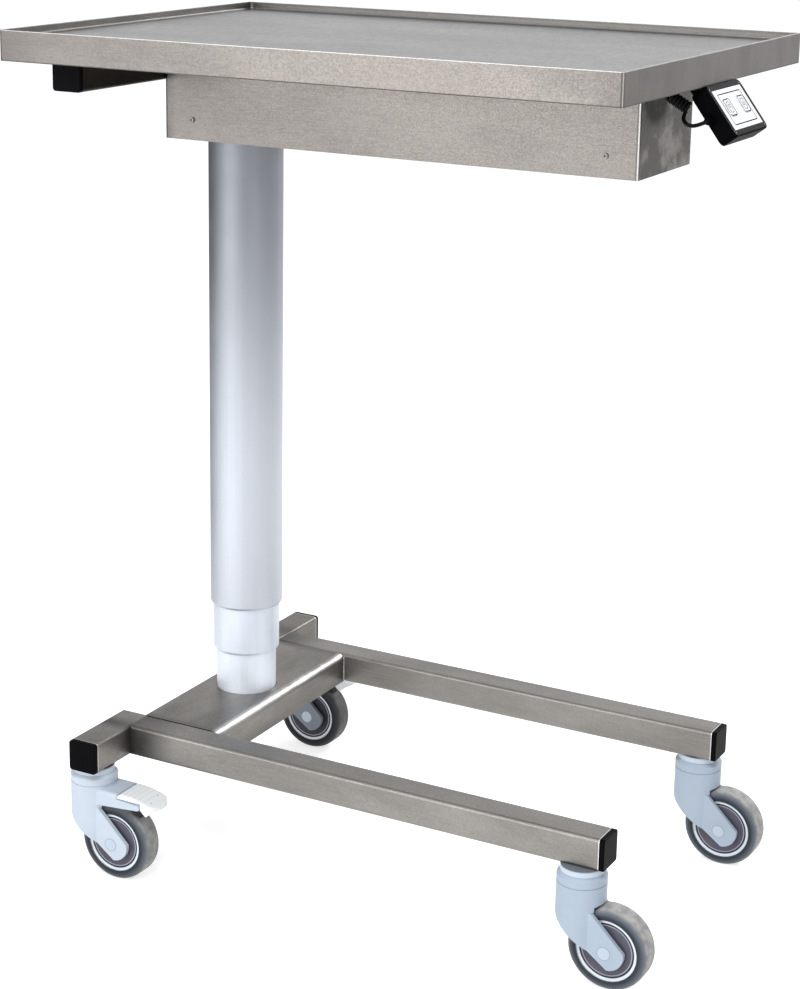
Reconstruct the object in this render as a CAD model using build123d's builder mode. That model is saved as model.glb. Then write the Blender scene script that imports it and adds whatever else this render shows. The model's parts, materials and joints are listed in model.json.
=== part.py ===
from build123d import *
from math import atan2, cos, degrees, radians, sin, tan
import os

# Height-adjustable instrument table: a stainless tray on a three-stage telescopic column,
# which stands near one end of a wheeled base that is open at the other end.
# Millimetres. +X runs along the legs toward the open end, +Z is up, Z = 0 is the floor.
# The origin is under the middle of the table's outline.

# Tray
tray_length = 791
tray_width = 556
apron_height = 36
rim_wall = 3
rim_depth = 10
tray_sheet = 1.5
tray_corner = 4
tray_floor_radius = 3
board_thickness = 18
board_gap = 0.5
tray_behind_column = 167.5

# Housing under the tray and the cross tube behind it
housing_width = 162
housing_height = 111.5
housing_sheet = 2
housing_corner = 4
housing_behind_column = 67.5
housing_front_gap = 60
housing_screw_radius = 3.5
housing_screw_height = 1.8
housing_screw_rise = 25
housing_screw_inset = 40

# Square tube of the base and of the cross tube
tube_side = 40
tube_wall = 2
tube_corner = 4
cap_flange = 6.5
cap_plug = 10
cap_clearance = 0.2
cap_round = 1.5
cross_tube_inset = 28

# Base, measured from the column's axis
leg_spacing = 362
leg_front = 601
stub_rear = 90
stub_reach = 271
beam_width = 118
beam_sheet = 3
beam_bend = 9
foot_side = 96
foot_thickness = 8
foot_hole_gap = 0.75
foot_screw_radius = 4
foot_screw_circle = 64
foot_screw_head = 6.5
foot_screw_head_height = 6
foot_screw_length = 16

# Telescopic column: outside diameters, and how far each lower end stays above the beam
column_closed = 738.5
inner_diameter = 79
middle_diameter = 87
outer_diameter = 95
inner_wall = 4
glide_gap = 1.1
slide_clearance = 0.05
outer_end_height = 119
middle_end_height = 55
inner_length = 676
middle_length = 655
glide_length = 60
glide_inset = 2
tube_end_chamfer = 3
flange_diameter = 114
flange_thickness = 6
hole_clearance = 0.3

# Drive and control box inside the housing
gearbox_length = 110
gearbox_width = 110
gearbox_height = 45
motor_diameter = 66
motor_length = 150
control_length = 190
control_width = 110
control_height = 60
control_front_gap = 71.5

# Casters
caster_height = 145
wheel_diameter = 100
wheel_width = 32
caster_trail = 40
front_caster_ahead = 576
rear_caster_inset = 27
rear_caster_shift = 5.5
front_caster_shift = 6.5
head_radius = 30
head_top_radius = 25
head_cone = 4
collar_gap = 0.5
collar_height = 7.5
collar_radius = 26
groove_depth = 0.8
groove_width = 1.2
head_skirt = 9
head_depth = 41.5
stem_radius = 10
stem_depth = 33
stud_radius = 6
stud_length = 20
stud_nut = 18
stud_nut_height = 8
pocket_side_gap = 2
pocket_gap = 3.5
arm_wall = 5.5
arm_tip_low = (4, -20)
arm_tip_end = (20, -12)
arm_tip_top = (24, 4)
arm_notch = (-18, 45.5)
arm_heel = (-43, 14.5)
arm_shin = 36
arm_round = 20
notch_round = 3
tyre_thickness = 12
tyre_shoulder = 7
rim_inset = 1.5
ring_width = 3.5
ring_thickness = 6
cover_thickness = 2
cover_recess = 0.5
cover_play = 0.2
hub_radius = 11
web_thickness = 8
axle_radius = 4
spacer_radius = 7
axle_head_radius = 8.5
axle_head_height = 2
axle_head_proud = 0.3
side_play = 0.1

# Brake pedal on the two casters beside the column, measured from the swivel axis
hood_reach = 84
hood_drop = 38
hood_slope = 7
hood_panel = 15.5
hood_panel_end = 13.5
hood_round = 3
hood_seam = 50
hood_crest = 22
hood_crown = 5
hood_web = 6.5
hood_web_length = 60
hood_side_step = 1
pedal_gap = 0.6
pedal_pin_ahead = 57
pedal_pin_rise = 11
pedal_pin_radius = 2
pedal_pin_seat = 2.5
pedal_low_rise = 7.5
pedal_skirt_rise = 16.6
pedal_crest_middle = (80, 19.6)
pedal_crest_end = (104, 11.5)
pedal_nose = ((106, 8), (99.5, 6), (93.5, 0.8), (87, 6.8))
pedal_body_length = 85.5
pedal_half_width = 22.5
pedal_crown = 4.5
pedal_tip_start = 92
shoe_start = 64
shoe_length = 12
shoe_width = 20
shoe_gap = 3.5

# Handset, its bracket and its curly cord
handset_width = 106
handset_height = 66
handset_thickness = 21
handset_corner = 7
handset_edge = 2
handset_rise = 37
handset_ahead = 2.5
handset_above_apron = 1.5
label_width = 96
label_height = 57
label_depth = 0.6
label_corner = 3
button_width = 20
button_height = 22
button_corner = 4
button_gap = 0.3
button_thickness = 3
button_proud = 0.8
button_travel = 0.8
button_spacing = 44
button_rise = 2
bracket_thickness = 3
bracket_width = 70
bracket_plate = 50
bracket_flange = 28
relief_root = 6
relief_tip = 4
relief_length = 13
relief_ribs = 3
relief_groove = 0.8
relief_back = 6.5
relief_drop = 1.7
cord_diameter = 5
coil_diameter = 15
gland_radius = 8
gland_tip = 4
gland_flange = 3
gland_length = 9
gland_drop = 13
cord_side = 62
lead_route = ((380.8, -80, 990), (372.8, -87, 990), (364.8, -83, 995), (361.8, -72, 1001), (362.8, -62, 1006))
coil_low = (363.8, -62, 1004.6)
coil_high = (340.8, -62, 1018)

# Heights, from the floor up
wheel_radius = wheel_diameter / 2
tube_bottom = caster_height
tube_middle = tube_bottom + tube_side / 2
tube_top = tube_bottom + tube_side
housing_bottom = tube_top + column_closed
board_bottom = housing_bottom + housing_height
tray_floor = board_bottom + board_thickness + tray_sheet
tray_top = tray_floor + rim_depth
apron_bottom = tray_top - apron_height

# Places along X: the outline runs from the tray's rear edge to the front of the front wheels
front_reach = front_caster_ahead + caster_trail + wheel_radius
column_x = (tray_behind_column - front_reach) / 2
tray_rear_x = column_x - tray_behind_column
tray_front_x = tray_rear_x + tray_length
tray_x = tray_rear_x + tray_length / 2
housing_rear_x = column_x - housing_behind_column
housing_front_x = tray_front_x - housing_front_gap
housing_length = housing_front_x - housing_rear_x
housing_x = housing_rear_x + housing_length / 2
stub_x = column_x - stub_rear + tube_side / 2
leg_rear_x = stub_x + tube_side / 2
leg_front_x = column_x + leg_front
leg_y = leg_spacing / 2
leg_inner_y = leg_y - tube_side / 2
front_caster_x = column_x + front_caster_ahead
front_caster_y = leg_y + front_caster_shift
rear_caster_x = stub_x - rear_caster_shift
rear_caster_y = stub_reach - rear_caster_inset
cross_tube_length = tray_width - 2 * cross_tube_inset

os.makedirs("parts", exist_ok=True)


def save(piece, name):
    piece.part.label = name
    export_step(piece.part, f"parts/{name}.step")


def tube_section(x, y):
    """Square tube section with rounded corners, centred on x, y of the sketch in hand."""
    with Locations((x, y)):
        RectangleRounded(tube_side, tube_side, tube_corner)
        RectangleRounded(
            tube_side - 2 * tube_wall, tube_side - 2 * tube_wall, tube_corner - tube_wall,
            mode=Mode.SUBTRACT,
        )


def end_cap(plane):
    """Moulded plug for a square tube whose end lies on the plane."""
    plug_side = tube_side - 2 * tube_wall - 2 * cap_clearance
    with BuildPart() as cap:
        with BuildSketch(plane):
            RectangleRounded(tube_side, tube_side, tube_corner)
        extrude(amount=cap_flange)
        fillet(cap.faces().sort_by(Axis(plane.origin, plane.z_dir))[-1].edges(), cap_round)
        with BuildSketch(plane):
            RectangleRounded(plug_side, plug_side, tube_corner - tube_wall)
        extrude(amount=-cap_plug)
    return cap


# Legs: square tubes that run forward from the stubs, with a stud hole for the front casters
for side, name in ((-1, "right"), (1, "left")):
    with BuildPart() as leg:
        with BuildSketch(Plane.YZ.offset(leg_rear_x)):
            tube_section(side * leg_y, tube_middle)
        extrude(amount=leg_front_x - leg_rear_x)
        with BuildSketch(Plane.XY.offset(tube_bottom)):
            with Locations((front_caster_x, side * front_caster_y)):
                Circle(stud_radius + hole_clearance)
        extrude(amount=tube_wall, mode=Mode.SUBTRACT)
    save(leg, f"leg_{name}")

    front_end = Plane((leg_front_x, side * leg_y, tube_middle), x_dir=(0, 1, 0), z_dir=(1, 0, 0))
    save(end_cap(front_end), f"leg_cap_{name}")

    # Stubs: short tubes that carry the rear casters outward, welded across the legs' rear ends
    with BuildPart() as stub:
        with BuildSketch(Plane.XZ.offset(-side * leg_inner_y)):
            tube_section(stub_x, tube_middle)
        extrude(amount=-side * (stub_reach - leg_inner_y))
        with BuildSketch(Plane.XY.offset(tube_bottom)):
            with Locations((rear_caster_x, side * rear_caster_y)):
                Circle(stud_radius + hole_clearance)
        extrude(amount=tube_wall, mode=Mode.SUBTRACT)
    save(stub, f"stub_{name}")

    outer_end = Plane((stub_x, side * stub_reach, tube_middle), x_dir=(1, 0, 0), z_dir=(0, side, 0))
    save(end_cap(outer_end), f"stub_cap_{name}")

# Cross beam: one folded sheet, open below, between the legs, with a hole for the column's foot
with BuildPart() as cross_beam:
    with BuildSketch(Plane.XZ):
        with Locations((column_x, tube_middle)):
            folded = Rectangle(beam_width, tube_side)
        fillet(folded.vertices().group_by(Axis.Y)[-1], beam_bend)
    extrude(amount=leg_inner_y, both=True)
    with BuildSketch(Plane.XZ):
        with Locations((column_x, tube_middle - beam_sheet)):
            hollow = Rectangle(beam_width - 2 * beam_sheet, tube_side)
        fillet(hollow.vertices().group_by(Axis.Y)[-1], beam_bend - beam_sheet)
    extrude(amount=leg_inner_y, both=True, mode=Mode.SUBTRACT)
    with BuildSketch(Plane.XY.offset(tube_top)):
        with Locations((column_x, 0)):
            Circle(inner_diameter / 2 + foot_hole_gap)
    extrude(amount=-beam_sheet, mode=Mode.SUBTRACT)
save(cross_beam, "cross_beam")

# Foot plate under the beam's top sheet; the inner tube stands on it, held by four screws
foot_top = tube_top - beam_sheet
with BuildPart() as column_foot:
    with BuildSketch(Plane.XY.offset(foot_top - foot_thickness)):
        with Locations((column_x, 0)):
            RectangleRounded(foot_side, foot_side, tube_corner)
            with PolarLocations(foot_screw_circle / 2, 4, start_angle=45):
                Circle(foot_screw_radius, mode=Mode.SUBTRACT)
    extrude(amount=foot_thickness)
save(column_foot, "column_foot")

with BuildPart() as foot_screws:
    with Locations((column_x, 0, foot_top - foot_thickness)):
        with PolarLocations(foot_screw_circle / 2, 4, start_angle=45):
            Cylinder(foot_screw_radius, foot_screw_length, align=(Align.CENTER, Align.CENTER, Align.MIN))
            Cylinder(
                foot_screw_head, foot_screw_head_height, align=(Align.CENTER, Align.CENTER, Align.MAX)
            )
save(foot_screws, "foot_screws")

# Column: three nested round tubes; the inner one stands on the foot, the outer one carries the top
inner_radius = inner_diameter / 2
middle_radius = middle_diameter / 2
outer_radius = outer_diameter / 2
middle_bottom = tube_top + middle_end_height
outer_bottom = tube_top + outer_end_height
floor_of_housing = housing_bottom + housing_sheet
flange_top = floor_of_housing + flange_thickness

with BuildPart() as inner_tube:
    with BuildSketch(Plane.XY.offset(foot_top)):
        with Locations((column_x, 0)):
            Circle(inner_radius)
            Circle(inner_radius - inner_wall, mode=Mode.SUBTRACT)
            with PolarLocations(foot_screw_circle / 2, 4, start_angle=45):
                Circle(foot_screw_radius + inner_wall)
            Circle(inner_radius, mode=Mode.INTERSECT)
            with PolarLocations(foot_screw_circle / 2, 4, start_angle=45):
                Circle(foot_screw_radius, mode=Mode.SUBTRACT)
    extrude(amount=inner_length)
save(inner_tube, "inner_tube")

with BuildPart() as middle_tube:
    with BuildSketch(Plane.XY.offset(middle_bottom)):
        with Locations((column_x, 0)):
            Circle(middle_radius)
            Circle(inner_radius + glide_gap, mode=Mode.SUBTRACT)
    extrude(amount=middle_length)
    lower_rim = middle_tube.edges().group_by(Axis.Z)[0].sort_by(SortBy.RADIUS)[-1]
    chamfer(lower_rim, length=tube_end_chamfer, length2=(middle_radius - inner_radius - glide_gap) / 2)
save(middle_tube, "middle_tube")

with BuildPart() as outer_tube:
    with BuildSketch(Plane.XY.offset(outer_bottom)):
        with Locations((column_x, 0)):
            Circle(outer_radius)
            Circle(middle_radius + glide_gap, mode=Mode.SUBTRACT)
    extrude(amount=flange_top - outer_bottom)
    lower_rim = outer_tube.edges().group_by(Axis.Z)[0].sort_by(SortBy.RADIUS)[-1]
    chamfer(lower_rim, length=tube_end_chamfer, length2=(outer_radius - middle_radius - glide_gap) / 2)
    with BuildSketch(Plane.XY.offset(floor_of_housing)):
        with Locations((column_x, 0)):
            Circle(flange_diameter / 2)
            Circle(outer_radius - (outer_radius - middle_radius - glide_gap) / 2, mode=Mode.SUBTRACT)
    extrude(amount=flange_thickness)
save(outer_tube, "outer_tube")

# Glides: plastic sleeves set in the lower ends of the middle and outer tubes
for name, bore, bottom in (
    ("lower_glide", inner_radius, middle_bottom),
    ("upper_glide", middle_radius, outer_bottom),
):
    with BuildPart() as glide:
        with BuildSketch(Plane.XY.offset(bottom + glide_inset)):
            with Locations((column_x, 0)):
                Circle(bore + glide_gap)
                Circle(bore + slide_clearance, mode=Mode.SUBTRACT)
        extrude(amount=glide_length)
    save(glide, name)

# Tray: folded sheet with a raised rim, a sunk floor and a deep apron, open below
with BuildPart() as tray:
    with BuildSketch(Plane.XY.offset(apron_bottom)):
        with Locations((tray_x, 0)):
            RectangleRounded(tray_length, tray_width, tray_corner)
    extrude(amount=apron_height)
    with BuildSketch(Plane.XY.offset(tray_floor)):
        with Locations((tray_x, 0)):
            RectangleRounded(tray_length - 2 * rim_wall, tray_width - 2 * rim_wall, tray_floor_radius + 1)
    extrude(amount=rim_depth, mode=Mode.SUBTRACT)
    fillet(tray.faces().filter_by(Plane.XY).group_by(Axis.Z)[-2].edges(), tray_floor_radius)
    with BuildSketch(Plane.XY.offset(apron_bottom)):
        with Locations((tray_x, 0)):
            RectangleRounded(tray_length - 2 * rim_wall, tray_width - 2 * rim_wall, tray_corner / 4)
    extrude(amount=tray_floor - tray_sheet - apron_bottom, mode=Mode.SUBTRACT)
save(tray, "tray")

with BuildPart() as tray_board:
    with BuildSketch(Plane.XY.offset(board_bottom)):
        with Locations((tray_x, 0)):
            Rectangle(
                tray_length - 2 * rim_wall - 2 * board_gap, tray_width - 2 * rim_wall - 2 * board_gap
            )
    extrude(amount=board_thickness)
save(tray_board, "tray_board")

# Housing: a folded box under the board, open at the top, with the column entering from below
with BuildPart() as housing:
    with BuildSketch(Plane.XY.offset(housing_bottom)):
        with Locations((housing_x, 0)):
            RectangleRounded(housing_length, housing_width, housing_corner)
    extrude(amount=housing_height)
    with BuildSketch(Plane.XY.offset(floor_of_housing)):
        with Locations((housing_x, 0)):
            RectangleRounded(
                housing_length - 2 * housing_sheet, housing_width - 2 * housing_sheet,
                housing_corner - housing_sheet,
            )
    extrude(amount=housing_height, mode=Mode.SUBTRACT)
    with BuildSketch(Plane.XY.offset(housing_bottom)):
        with Locations((column_x, 0)):
            Circle(outer_radius + hole_clearance)
    extrude(amount=housing_sheet, mode=Mode.SUBTRACT)
save(housing, "housing")

with BuildPart() as housing_screws:
    for side in (-1, 1):
        wall = Plane(
            (housing_x, side * housing_width / 2, housing_bottom + housing_screw_rise),
            x_dir=(1, 0, 0), z_dir=(0, side, 0),
        )
        with BuildSketch(wall):
            with GridLocations(housing_length - 2 * housing_screw_inset, 1, 2, 1):
                Circle(housing_screw_radius)
        extrude(amount=housing_screw_height)
save(housing_screws, "housing_screws")

# Cross tube against the housing's rear wall, with a plug in each end
with BuildPart() as cross_tube:
    with BuildSketch(Plane.XZ):
        tube_section(housing_rear_x - tube_side / 2, board_bottom - tube_side / 2)
    extrude(amount=cross_tube_length / 2, both=True)
save(cross_tube, "cross_tube")

for side, name in ((-1, "right"), (1, "left")):
    tube_end = Plane(
        (housing_rear_x - tube_side / 2, side * cross_tube_length / 2, board_bottom - tube_side / 2),
        x_dir=(1, 0, 0), z_dir=(0, side, 0),
    )
    save(end_cap(tube_end), f"cross_cap_{name}")

# Drive: a gearbox on the outer tube's flange with its motor lying forward of it
with BuildPart() as drive_unit:
    with BuildSketch(Plane.XY.offset(flange_top)):
        with Locations((column_x, 0)):
            RectangleRounded(gearbox_length, gearbox_width, tube_corner)
    extrude(amount=gearbox_height)
    with BuildSketch(Plane.YZ.offset(column_x + gearbox_length / 2)):
        with Locations((0, flange_top + motor_diameter / 2)):
            Circle(motor_diameter / 2)
    extrude(amount=motor_length)
save(drive_unit, "drive_unit")

with BuildPart() as control_box:
    with Locations((housing_front_x - housing_sheet - control_front_gap, 0, floor_of_housing)):
        Box(control_length, control_width, control_height, align=(Align.MAX, Align.CENTER, Align.MIN))
    fillet(control_box.edges().filter_by(Axis.Z), tube_corner)
save(control_box, "control_box")

# Caster stems: washer under the tube, pin down into the caster's head, stud and nut inside the tube
caster_places = (
    (rear_caster_x, -rear_caster_y), (rear_caster_x, rear_caster_y),
    (front_caster_x, -front_caster_y), (front_caster_x, front_caster_y),
)
head_top = tube_bottom - collar_height - collar_gap
with BuildPart() as caster_stems:
    for radius, bottom, height in (
        (collar_radius, tube_bottom - collar_height, collar_height),
        (stem_radius, head_top - stem_depth + collar_gap, stem_depth),
        (stud_radius, tube_bottom, stud_length),
    ):
        with BuildSketch(Plane.XY.offset(bottom)):
            with Locations(*caster_places):
                Circle(radius)
        extrude(amount=height)
    with BuildSketch(Plane.XY.offset(tube_bottom + tube_wall)):
        with Locations(*caster_places):
            RegularPolygon(stud_nut / 2, 6, major_radius=False)
    extrude(amount=stud_nut_height)
save(caster_stems, "caster_stems")

# Shared caster sizes: the wheel's pocket, the arms, the rim and the covers
pocket_half = wheel_width / 2 + pocket_side_gap
arm_outer = pocket_half + arm_wall
pocket_radius = wheel_radius + pocket_gap
head_bottom = head_top - head_depth
hood_bottom = head_top - hood_drop
hood_top = hood_bottom + hood_crest
pedal_skirt = hood_bottom + pedal_skirt_rise
bay_half = pocket_half + hood_side_step
ring_half = wheel_width / 2 - rim_inset
rim_radius = wheel_radius - tyre_thickness
cover_radius = rim_radius - ring_width
cover_outer = ring_half - cover_recess
cover_inner = cover_outer - cover_thickness
head_seat = arm_outer - axle_head_height
pedal_pin = (pedal_pin_ahead, hood_bottom + pedal_pin_rise)


def from_axle(ahead, above):
    """Point in a caster's side view, given from the axle's centre."""
    return (caster_trail + ahead, wheel_radius + above)


def caster(name, x, y, braked):
    """One swivel caster that trails forward: fork, axle, wheel, tyre, covers and brake."""
    side_view = Plane((x, y, 0), x_dir=(1, 0, 0), z_dir=(0, -1, 0))
    axle = from_axle(0, 0)

    # Fork: head and two diagonal arms from one side outline, rounded in plan about the stem
    with BuildPart() as fork:
        tip_low, tip_top = from_axle(*arm_tip_low), from_axle(*arm_tip_top)
        notch, shin = from_axle(*arm_notch), (-head_radius, wheel_radius + arm_shin)
        shoulder = head_top - head_cone
        with BuildSketch(side_view):
            with BuildLine():
                Polyline(
                    tip_low, from_axle(*arm_heel), shin, (-head_radius, shoulder),
                    (head_radius, shoulder), (head_radius, head_bottom), notch, tip_top,
                )
                ThreePointArc(tip_top, from_axle(*arm_tip_end), tip_low)
            outline = make_face()
            fillet(outline.vertices().sort_by_distance(shin)[:1], arm_round)
            fillet(outline.vertices().sort_by_distance(notch)[:1], notch_round)
        extrude(amount=head_radius, both=True)
        with BuildSketch():
            with Locations((x, y)):
                Circle(head_radius)
                Rectangle(caster_trail + 2 * head_radius, 2 * arm_outer, align=(Align.MIN, Align.CENTER))
        extrude(amount=head_top, mode=Mode.INTERSECT)
        with BuildSketch(Plane.XY.offset(head_bottom)):
            with Locations((x, y)):
                Circle(head_radius + caster_trail)
                Circle(head_radius, mode=Mode.SUBTRACT)
        extrude(amount=head_depth, mode=Mode.SUBTRACT)
        if braked:
            with BuildPart():
                with BuildSketch(side_view):
                    with BuildLine():
                        Polyline(
                            (0, hood_bottom), (hood_reach, hood_bottom + hood_slope),
                            (hood_reach, hood_bottom + hood_panel_end), (hood_seam, hood_bottom + hood_panel),
                            (hood_seam, hood_top), (0, hood_top), close=True,
                        )
                    panel = make_face()
                    fillet(panel.vertices().group_by(Axis.X)[-1], hood_round)
                hood = extrude(amount=arm_outer, both=True)
                fillet(hood.edges().filter_by(Axis.X).group_by(Axis.Z)[-1], hood_crown)
            with BuildSketch(side_view):
                with Locations((hood_seam, hood_bottom + hood_web)):
                    Rectangle(hood_reach, hood_drop, align=(Align.MIN, Align.MIN))
                with Locations((hood_web_length, wheel_diameter)):
                    Rectangle(hood_reach, hood_drop, align=(Align.MIN, Align.MIN))
            extrude(amount=bay_half, both=True, mode=Mode.SUBTRACT)
            with BuildSketch(side_view):
                with Locations(pedal_pin):
                    Circle(pedal_pin_radius + slide_clearance)
            extrude(amount=bay_half + pedal_pin_seat + slide_clearance, both=True, mode=Mode.SUBTRACT)
        with BuildSketch(side_view):
            with Locations(axle):
                Circle(pocket_radius)
        extrude(amount=pocket_half, both=True, mode=Mode.SUBTRACT)

        # Top of the head: a cone that sheds dirt, a groove under it and the bore for the stem
        with BuildSketch(Plane.XY.offset(shoulder)):
            with Locations((x, y)):
                Circle(head_radius)
        extrude(amount=head_cone, taper=degrees(atan2(head_radius - head_top_radius, head_cone)))
        with BuildSketch(Plane.XY.offset(shoulder - head_skirt)):
            with Locations((x, y)):
                Circle(head_radius + caster_trail)
                Circle(head_radius - groove_depth, mode=Mode.SUBTRACT)
        extrude(amount=groove_width, mode=Mode.SUBTRACT)
        with BuildSketch(Plane.XY.offset(head_top)):
            with Locations((x, y)):
                Circle(stem_radius + slide_clearance)
        extrude(amount=-stem_depth, mode=Mode.SUBTRACT)

        # Bores for the axle, with a round seat for its head in each arm
        with BuildSketch(side_view):
            with Locations(axle):
                Circle(axle_radius)
        extrude(amount=arm_outer, both=True, mode=Mode.SUBTRACT)
        for side in (-1, 1):
            with BuildSketch(side_view.offset(side * head_seat)):
                with Locations(axle):
                    Circle(axle_head_radius)
            extrude(amount=side * axle_head_height, mode=Mode.SUBTRACT)
    save(fork, f"fork_{name}")

    with BuildPart() as axle_bolt:
        with BuildSketch(side_view):
            with Locations(axle):
                Circle(axle_radius)
        extrude(amount=head_seat, both=True)
        for side in (-1, 1):
            with BuildSketch(side_view.offset(side * (cover_outer + side_play))):
                with Locations(axle):
                    Circle(spacer_radius)
            extrude(amount=side * (pocket_half - cover_outer - side_play))
            with BuildSketch(side_view.offset(side * head_seat)):
                with Locations(axle):
                    Circle(axle_head_radius)
            extrude(amount=side * (axle_head_height + axle_head_proud))
    save(axle_bolt, f"axle_{name}")

    # Wheel: hub, web and rim; the rim's edge shows as a pale ring beside the cover
    with BuildPart() as wheel:
        for radius, bore, half in (
            (rim_radius, rim_radius - ring_thickness, ring_half),
            (rim_radius - ring_thickness, axle_radius + slide_clearance, web_thickness / 2),
            (hub_radius, axle_radius + slide_clearance, cover_inner),
        ):
            with BuildSketch(side_view):
                with Locations(axle):
                    Circle(radius)
                    Circle(bore, mode=Mode.SUBTRACT)
            extrude(amount=half, both=True)
        for side in (-1, 1):
            with BuildSketch(side_view.offset(side * cover_inner)):
                with Locations(axle):
                    Circle(cover_radius)
            extrude(amount=side * (ring_half - cover_inner), mode=Mode.SUBTRACT)
    save(wheel, f"wheel_{name}")

    with BuildPart() as covers:
        for side in (-1, 1):
            with BuildSketch(side_view.offset(side * cover_inner)):
                with Locations(axle):
                    Circle(cover_radius - cover_play)
                    Circle(axle_radius + cover_play, mode=Mode.SUBTRACT)
            extrude(amount=side * cover_thickness)
    save(covers, f"covers_{name}")

    # Tyre: a band with rounded shoulders, turned about the axle
    across = Plane((x + caster_trail, y, wheel_radius), x_dir=(0, 1, 0), z_dir=(1, 0, 0))
    with BuildPart() as tyre:
        with BuildSketch(across):
            with Locations((0, rim_radius)):
                band = Rectangle(wheel_width, tyre_thickness, align=(Align.CENTER, Align.MIN))
            fillet(band.vertices().group_by(Axis.Y)[-1], tyre_shoulder)
        revolve(axis=Axis(across.origin, (0, 1, 0)))
    save(tyre, f"tyre_{name}")

    if not braked:
        return

    # Brake: a crowned pedal over the hood's side panels, pinned between them, with a shoe over the tyre
    pedal_low = hood_bottom + pedal_low_rise
    pedal_start = hood_seam + pedal_gap
    with BuildPart() as pedal:
        crest = [(ahead, hood_bottom + above) for ahead, above in (pedal_crest_middle, pedal_crest_end)]
        with BuildSketch(side_view):
            with BuildLine():
                ThreePointArc((pedal_start, hood_top), *crest)
                Polyline(
                    crest[-1], *[(ahead, hood_bottom + above) for ahead, above in pedal_nose],
                    (pedal_body_length, pedal_low), (pedal_start, pedal_low), (pedal_start, hood_top),
                )
            make_face()
        extrude(amount=pedal_half_width, both=True)
        top_edges = pedal.edges().filter_by(
            lambda edge: edge.length > caster_trail and edge.center().Z > pedal_skirt
        )
        fillet(top_edges, pedal_crown)
        with BuildSketch():
            for side in (-1, 1):
                with Locations((x, y + side * (bay_half - pedal_gap))):
                    Rectangle(
                        pedal_body_length, head_radius, align=(Align.MIN, Align.MIN if side > 0 else Align.MAX)
                    )
        extrude(amount=pedal_skirt, mode=Mode.SUBTRACT)
        with BuildSketch():
            with Locations((x, y)):
                Rectangle(pedal_tip_start, 2 * pedal_half_width, align=(Align.MIN, Align.CENTER))
            with BuildLine():
                near, far = ((x + pedal_tip_start, y + side * pedal_half_width) for side in (-1, 1))
                ThreePointArc(near, (x + pedal_nose[0][0], y), far)
                Line(far, near)
            make_face()
        extrude(amount=head_top, mode=Mode.INTERSECT)
        with BuildSketch(side_view):
            with Locations(pedal_pin):
                Circle(pedal_pin_radius)
        extrude(amount=bay_half + pedal_pin_seat, both=True)
    save(pedal, f"pedal_{name}")

    with BuildPart() as shoe:
        with BuildSketch(side_view):
            with Locations((shoe_start, pedal_low)):
                Rectangle(shoe_length, pedal_low - wheel_radius, align=(Align.MIN, Align.MAX))
            with Locations(axle):
                Circle(wheel_radius + shoe_gap, mode=Mode.SUBTRACT)
        extrude(amount=shoe_width / 2, both=True)
    save(shoe, f"shoe_{name}")


caster("rear_right", *caster_places[0], True)
caster("rear_left", *caster_places[1], True)
caster("front_right", *caster_places[2], False)
caster("front_left", *caster_places[3], False)

# Handset: a black box with a pale label, tilted back just outside the tray's front apron.
# Its own plane lies on the middle of its back: +X of the plane runs left, +Y up the face.
lean = radians(handset_rise)
top_edge = Vector(tray_front_x + handset_ahead, 0, apron_bottom + handset_above_apron)
outward = Vector(cos(lean), 0, sin(lean))
upward = Vector(-sin(lean), 0, cos(lean))
back_middle = top_edge - upward * (handset_height / 2) - outward * handset_thickness
back = Plane(back_middle, x_dir=(0, 1, 0), z_dir=outward)
face = back.offset(handset_thickness)
key_depth = label_depth + button_thickness - button_proud
key_places = ((-button_spacing / 2, button_rise), (button_spacing / 2, button_rise))

with BuildPart() as handset_body:
    with BuildSketch(back):
        RectangleRounded(handset_width, handset_height, handset_corner)
    extrude(amount=handset_thickness)
    fillet(handset_body.faces().sort_by(Axis(back.origin, back.z_dir))[-1].edges(), handset_edge)
    fillet(handset_body.faces().sort_by(Axis(back.origin, back.z_dir))[0].edges(), handset_edge)
    with BuildSketch(face):
        RectangleRounded(label_width, label_height, label_corner)
    extrude(amount=-label_depth, mode=Mode.SUBTRACT)
    with BuildSketch(face.offset(-label_depth)):
        with Locations(*key_places):
            RectangleRounded(button_width + 2 * button_gap, button_height + 2 * button_gap, button_corner)
    extrude(amount=button_proud - button_thickness - button_travel - button_gap, mode=Mode.SUBTRACT)
save(handset_body, "handset_body")

with BuildPart() as handset_label:
    with BuildSketch(face.offset(-label_depth)):
        RectangleRounded(label_width, label_height, label_corner)
        with Locations(*key_places):
            RectangleRounded(
                button_width + 2 * button_gap, button_height + 2 * button_gap, button_corner,
                mode=Mode.SUBTRACT,
            )
    extrude(amount=label_depth)
save(handset_label, "handset_label")

for place, name in zip(key_places, ("down", "up")):
    with BuildPart() as button:
        with BuildSketch(face.offset(button_proud)):
            with Locations(place):
                RectangleRounded(button_width, button_height, button_corner - button_gap)
        extrude(amount=-button_thickness)
    save(button, f"button_{name}")

# Bracket: a bent strip screwed under the board, whose lower plate lies along the handset's back
with BuildPart() as handset_bracket:
    with BuildSketch(back):
        with Locations((0, bracket_plate / 2)):
            Rectangle(bracket_width, 2 * bracket_plate)
    extrude(amount=-bracket_thickness)
    split(bisect_by=Plane.XY.offset(board_bottom), keep=Keep.BOTTOM)
    bend_x = back_middle.X - (board_bottom - back_middle.Z) * tan(lean)
    with BuildSketch(Plane.XY.offset(board_bottom)):
        with Locations((bend_x, 0)):
            Rectangle(bracket_flange, bracket_width, align=(Align.MAX, Align.CENTER))
    extrude(amount=-bracket_thickness)
save(handset_bracket, "handset_bracket")

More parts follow.
